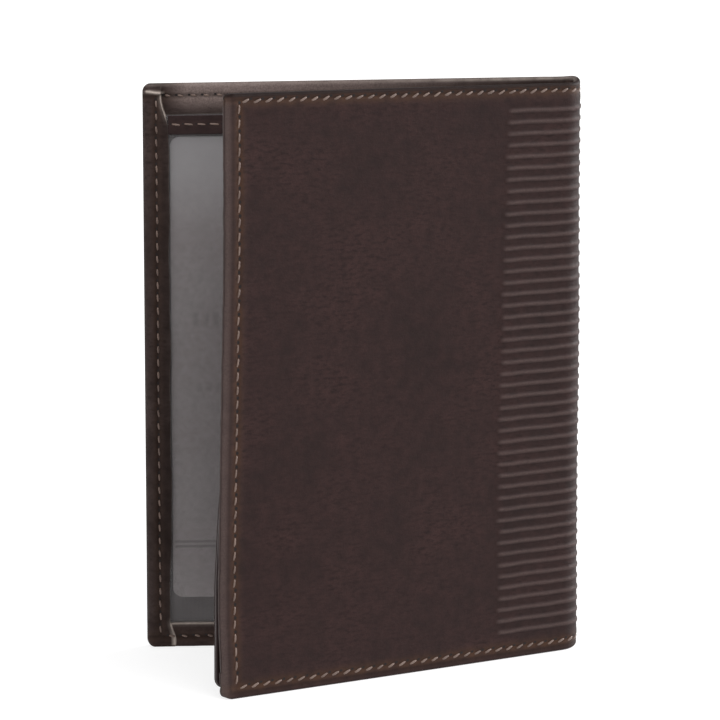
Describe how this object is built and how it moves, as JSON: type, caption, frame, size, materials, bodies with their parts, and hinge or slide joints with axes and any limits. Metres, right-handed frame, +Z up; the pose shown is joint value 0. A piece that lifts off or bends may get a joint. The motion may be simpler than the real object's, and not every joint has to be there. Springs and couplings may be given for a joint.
{
  "type": "passport holder",
  "caption": "Folding leather passport holder with a flexible stitched spine, padded covers, a slip leaf, a passport pocket and a clear window pocket holding a slide-in card.",
  "frame": {"origin": "middle of the bounding box on the plane the holder stands on, its lower edges", "axes": "+Z up along the spine; +X towards the outside of the spine, so the covers open towards -X; the back cover is on the -Y side and the front cover, with the clear window, on the +Y side"},
  "size_m": [0.1014, 0.0672, 0.14],
  "materials": {
    "outer_leather": "smooth, slightly waxed grain",
    "inner_leather": "smooth, matte",
    "lining_cloth": "matte, fine plain weave",
    "board": "matte",
    "thread": "waxed, light brown",
    "clear_sheet": "clear, glossy",
    "card": "satin, light grey"
  },
  "bodies": {
    "spine": {"spine_leather": "outer_leather", "spine_lining": "lining_cloth", "spine_thread": "thread", "leaf_hinge_tab": "inner_leather"},
    "back_cover": {"back_cover_leather": "outer_leather", "back_board": "board", "back_lining": "lining_cloth", "passport_pocket": "inner_leather", "passport_pocket_thread": "thread", "back_cover_thread": "thread"},
    "front_cover": {"front_cover_leather": "outer_leather", "front_board": "board", "front_lining": "lining_cloth", "window_film": "clear_sheet", "window_mouth_strip": "inner_leather", "window_side_strip": "inner_leather", "window_mouth_thread": "thread", "window_side_thread": "thread", "front_cover_thread": "thread"},
    "leaf": {"leaf_back_skin": "outer_leather", "leaf_core": "lining_cloth", "leaf_front_skin": "inner_leather", "leaf_thread": "thread", "leaf_mouth_thread": "thread"},
    "card": {"window_card": "card"}
  },
  "joints": [
    {"name": "back_fold", "type": "hinge", "parent": "spine", "child": "back_cover", "pos_m": [0.04844, -0.00482, 0], "axis": [0, 0, 1], "range_deg": [-15.5, 74.5]},
    {"name": "front_fold", "type": "hinge", "parent": "spine", "child": "front_cover", "pos_m": [0.04844, 0.00482, 0], "axis": [0, 0, -1], "range_deg": [-15.5, 74.5]},
    {"name": "leaf_fold", "type": "hinge", "parent": "spine", "child": "leaf", "pos_m": [0.04525, -0.00163, 0], "axis": [0, 0, 1], "range_deg": [-15.5, 74.5]},
    {"name": "card_slide", "type": "slide", "parent": "front_cover", "child": "card", "axis": [0, 0, 1], "range_m": [-0.006, 0.128]}
  ],
  "couplings": [
    {"joint": "leaf_fold", "follows": "back_fold", "ratio": 1}
  ]
}
